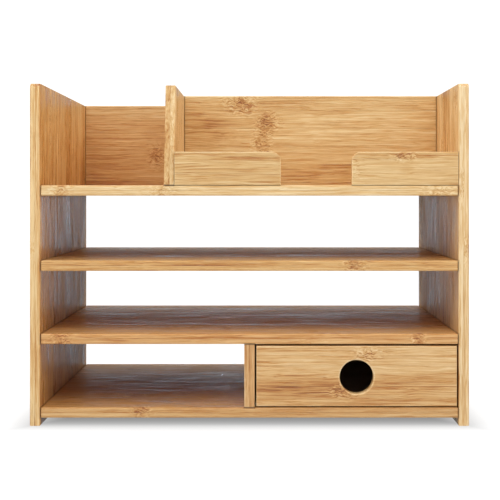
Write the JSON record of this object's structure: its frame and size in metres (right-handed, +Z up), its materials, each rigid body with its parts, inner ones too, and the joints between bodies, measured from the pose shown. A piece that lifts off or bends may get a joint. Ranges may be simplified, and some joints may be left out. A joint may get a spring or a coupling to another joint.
{
  "type": "desk hutch",
  "caption": "Desktop organiser hutch of flat bamboo boards: letter shelves, a divided top deck with low front lips, and a drawer with a round finger hole in the lower right bay.",
  "frame": {"origin": "under the middle of the hutch, at the height of its feet", "axes": "+X to the right seen from the front, +Y to the rear, +Z up; the open front faces -Y"},
  "size_m": [0.42, 0.253, 0.3275],
  "materials": {
    "bamboo": "satin clear lacquer over two-ply flat-pressed caramel bamboo",
    "dowel_wood": "raw",
    "hardboard": "smooth",
    "screw_steel": "zinc plated"
  },
  "bodies": {
    "carcass": {"back_panel": "bamboo", "back_panel_left_dowels": "dowel_wood", "back_panel_right_dowels": "dowel_wood", "back_panel_screws": "screw_steel", "bottom_shelf": "bamboo", "drawer_stop": "bamboo", "drawer_stop_screws": "screw_steel", "left_front_lip": "bamboo", "left_lip_dowels": "dowel_wood", "left_shelf_dowels": "dowel_wood", "left_shelf_screws": "screw_steel", "left_side_panel": "bamboo", "lower_divider": "bamboo", "lower_divider_dowels": "dowel_wood", "lower_divider_screws": "screw_steel", "middle_shelf": "bamboo", "partition_left_dowels": "dowel_wood", "partition_panel": "bamboo", "partition_right_dowels": "dowel_wood", "partition_screws": "screw_steel", "right_front_lip": "bamboo", "right_lip_dowels": "dowel_wood", "right_shelf_dowels": "dowel_wood", "right_shelf_screws": "screw_steel", "right_side_panel": "bamboo", "top_shelf": "bamboo", "upper_divider": "bamboo", "upper_divider_screws": "screw_steel", "upper_shelf": "bamboo"},
    "drawer": {"drawer_back": "bamboo", "drawer_back_left_dowels": "dowel_wood", "drawer_back_right_dowels": "dowel_wood", "drawer_bottom": "hardboard", "drawer_front": "bamboo", "drawer_front_dowels": "dowel_wood", "drawer_left_side": "bamboo", "drawer_right_side": "bamboo"}
  },
  "joints": [
    {"name": "drawer_slide", "type": "slide", "parent": "carcass", "child": "drawer", "axis": [0, -1, 0], "range_m": [0, 0.2]}
  ]
}
